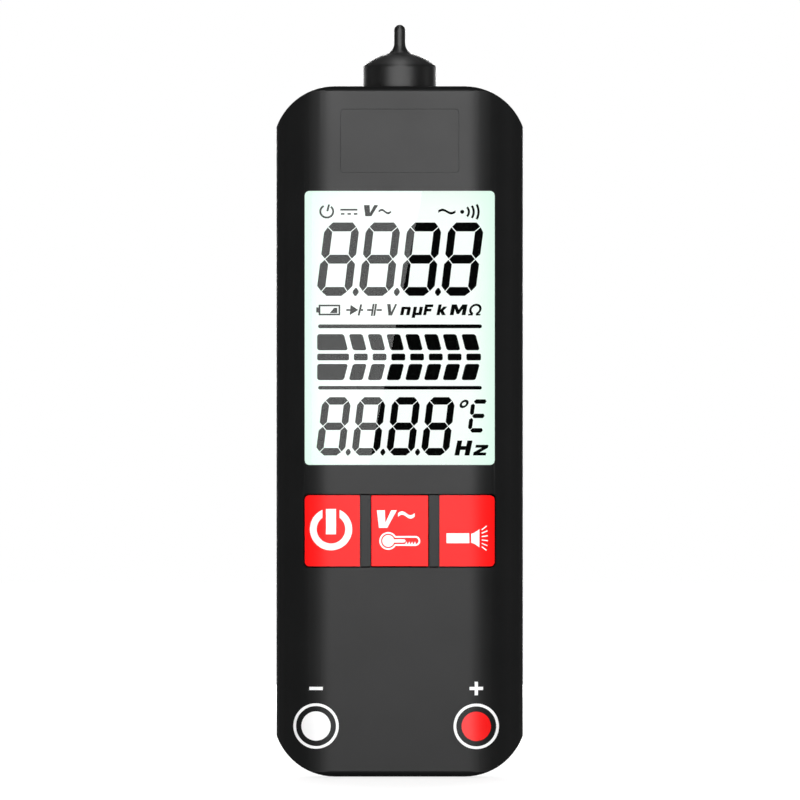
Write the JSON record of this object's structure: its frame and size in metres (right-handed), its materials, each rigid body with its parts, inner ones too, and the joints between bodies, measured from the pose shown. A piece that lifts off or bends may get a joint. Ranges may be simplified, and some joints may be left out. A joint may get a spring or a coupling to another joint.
{
  "type": "voltage tester pen",
  "caption": "Slim pen shaped voltage tester with a display, red push keys, a detector nose and plug sockets.",
  "frame": {"origin": "centre of the body's lower end, the end with the two sockets", "axes": "+Z along the pen towards the nose, -Y out of the front with the display, +X to the right as seen from the front"},
  "size_m": [0.042, 0.02, 0.128],
  "materials": {
    "case": "satin moulded, fine grain",
    "door": "satin moulded, fine grain",
    "screw": "zinc plated",
    "pane": "clear polished",
    "display": "pale display ground with dark segments",
    "display_back": "pale green white",
    "frame_white": "white moulded",
    "guide": "milky light guide",
    "strip": "pink elastomer with dark core",
    "board": "green solder resist",
    "key_red": "satin red",
    "stem": "dark nylon",
    "switch": "tinned steel frame",
    "insulator": "black moulded",
    "brass": "turned brass",
    "cell": "printed sleeve",
    "contact": "nickel plated",
    "nose": "black satin gloss",
    "lamp": "clear lamp body",
    "buzzer": "black moulded",
    "chip": "black moulded resin",
    "thermistor": "dipped resin",
    "resistor": "dipped resin"
  },
  "bodies": {
    "housing": {"front_case": "case", "rear_case": "case", "case_screws": "screw", "window_pane": "pane", "front_glass": "display", "rear_glass": "display_back", "display_frame": "frame_white", "light_guide": "guide", "contact_strip": "strip", "main_board": "board", "key_switches": "switch", "jack_block": "insulator", "common_socket": "brass", "input_socket": "brass", "left_cell": "cell", "right_cell": "cell", "bridge_contact": "contact", "plus_contact": "contact", "minus_contact": "contact", "battery_springs": "contact", "probe_nose": "nose", "sensing_rod": "brass", "torch_lamp": "lamp", "buzzer": "buzzer", "measuring_chip": "chip", "thermistor": "thermistor", "input_resistors": "resistor"},
    "power_key": {"power_key": "key_red", "power_stem": "stem"},
    "alert_key": {"alert_key": "key_red", "alert_stem": "stem"},
    "select_key": {"select_key": "key_red", "select_stem": "stem"},
    "battery_door": {"battery_door": "door"}
  },
  "joints": [
    {"name": "power_key_press", "type": "slide", "parent": "housing", "child": "power_key", "axis": [0, 1, 0], "range_m": [0, 0.0003], "stiffness_N_per_m": 400},
    {"name": "alert_key_press", "type": "slide", "parent": "housing", "child": "alert_key", "axis": [0, 1, 0], "range_m": [0, 0.0003], "stiffness_N_per_m": 400},
    {"name": "select_key_press", "type": "slide", "parent": "housing", "child": "select_key", "axis": [0, 1, 0], "range_m": [0, 0.0003], "stiffness_N_per_m": 400},
    {"name": "battery_door_tilt", "type": "hinge", "parent": "housing", "child": "battery_door", "pos_m": [0, 0.01, 0.0203], "axis": [-1, 0, 0], "range_deg": [0, 30]}
  ]
}
